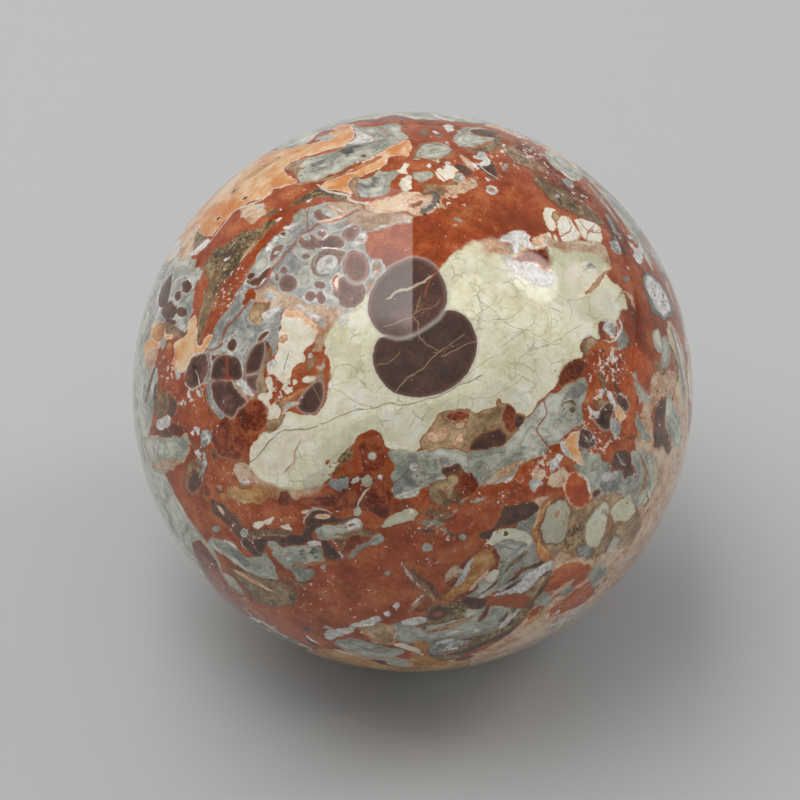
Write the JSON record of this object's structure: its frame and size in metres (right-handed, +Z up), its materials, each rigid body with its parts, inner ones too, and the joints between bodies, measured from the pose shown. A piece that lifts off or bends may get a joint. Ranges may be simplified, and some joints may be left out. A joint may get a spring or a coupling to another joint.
{
  "type": "polished jasper sphere",
  "caption": "Solid polished ball of brecciated jasper with a small hidden ground flat that it rests on.",
  "frame": {"origin": "middle of the small rest flat under the ball, on the surface that it stands on", "axes": "+Z straight up from the rest flat through the ball's centre; the pictured face of the stone looks towards -Y and up"},
  "size_m": [0.1, 0.1, 0.0997],
  "materials": {
    "polished_jasper": "polished"
  },
  "bodies": {
    "root": {"jasper_ball": "polished_jasper"}
  },
  "joints": []
}
